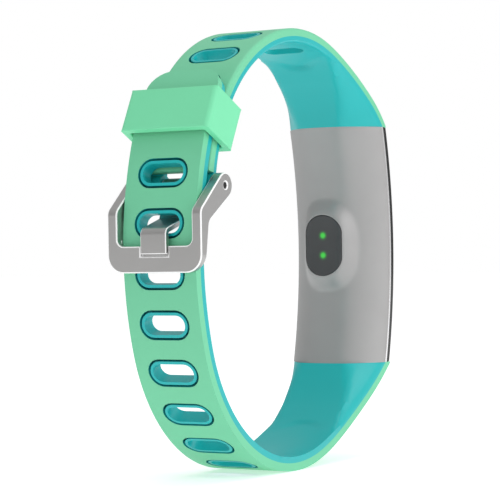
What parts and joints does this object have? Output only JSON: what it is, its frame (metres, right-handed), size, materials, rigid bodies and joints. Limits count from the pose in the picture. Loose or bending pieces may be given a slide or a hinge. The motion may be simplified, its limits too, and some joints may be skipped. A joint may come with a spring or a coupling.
{
  "type": "fitness tracker band",
  "caption": "Slim curved tracker on a two-layer slotted silicone strap, closed by a metal prong buckle and a sliding keeper loop",
  "frame": {"origin": "the middle of the closed wrist opening", "axes": "X runs along the wrist, +Y points out through the tracker, -Y through the buckle, +Z runs along the tracker towards the strap that carries the buckle"},
  "size_m": [0.0198, 0.0674, 0.0779],
  "materials": {
    "satin_grey_case": "satin grey paint on the metal case",
    "polished_frame": "bright diamond-cut edge",
    "black_seal": "matte black",
    "black_glass": "black-backed polished glass",
    "display_stack": "dark display laminate",
    "amber_flex": "amber polyimide film",
    "smoked_window": "smoked polished window",
    "green_light": "clear green light emitter",
    "chip_black": "moulded chip black",
    "green_board": "solder mask",
    "tin_plate": "tinned sheet",
    "steel_small": "turned steel",
    "battery_foil": "laminated foil pouch",
    "tungsten_grey": "sintered tungsten",
    "mint_silicone": "matte mint silicone",
    "teal_silicone": "matte teal silicone",
    "satin_steel": "bead-blasted satin with bright edges",
    "dark_steel": "blackened pin end"
  },
  "bodies": {
    "band": {"rear_case": "satin_grey_case", "front_frame": "polished_frame", "case_seal": "black_seal", "display_glass": "black_glass", "display_panel": "display_stack", "display_flex": "amber_flex", "sensor_window": "smoked_window", "light_baffle": "black_seal", "green_leds": "green_light", "photodiode": "chip_black", "sensor_board": "green_board", "sensor_flex": "amber_flex", "main_board": "green_board", "board_chips": "chip_black", "shield_can": "tin_plate", "board_screws": "steel_small", "battery": "battery_foil", "antenna": "amber_flex", "motor_housing": "tin_plate", "motor_shaft": "steel_small", "upper_strap_outer": "mint_silicone", "upper_strap_inner": "teal_silicone", "lower_strap_outer": "mint_silicone", "lower_strap_inner": "teal_silicone", "strap_pins": "steel_small"},
    "motor_rotor": {"motor_weight": "tungsten_grey"},
    "keeper": {"strap_keeper": "mint_silicone"},
    "frame": {"buckle_frame": "satin_steel", "buckle_pin": "dark_steel"},
    "prong": {"buckle_prong": "satin_steel"}
  },
  "joints": [
    {"name": "frame_hinge", "type": "hinge", "parent": "band", "child": "frame", "pos_m": [0, -0.0259, 0.00995], "axis": [-1, 0, 0], "range_deg": [0, 8]},
    {"name": "prong_hinge", "type": "hinge", "parent": "frame", "child": "prong", "pos_m": [0, -0.0259, 0.00995], "axis": [-1, 0, 0], "range_deg": [0, 2]},
    {"name": "keeper_slide", "type": "hinge", "parent": "band", "child": "keeper", "pos_m": [0, 0.00367, 0.00661], "axis": [-1, 0, 0], "range_deg": [-5, 30]},
    {"name": "motor_spin", "type": "hinge", "parent": "band", "child": "motor_rotor", "pos_m": [0, 0.0267, -0.0143], "axis": [0, 1, 0], "continuous": true}
  ]
}
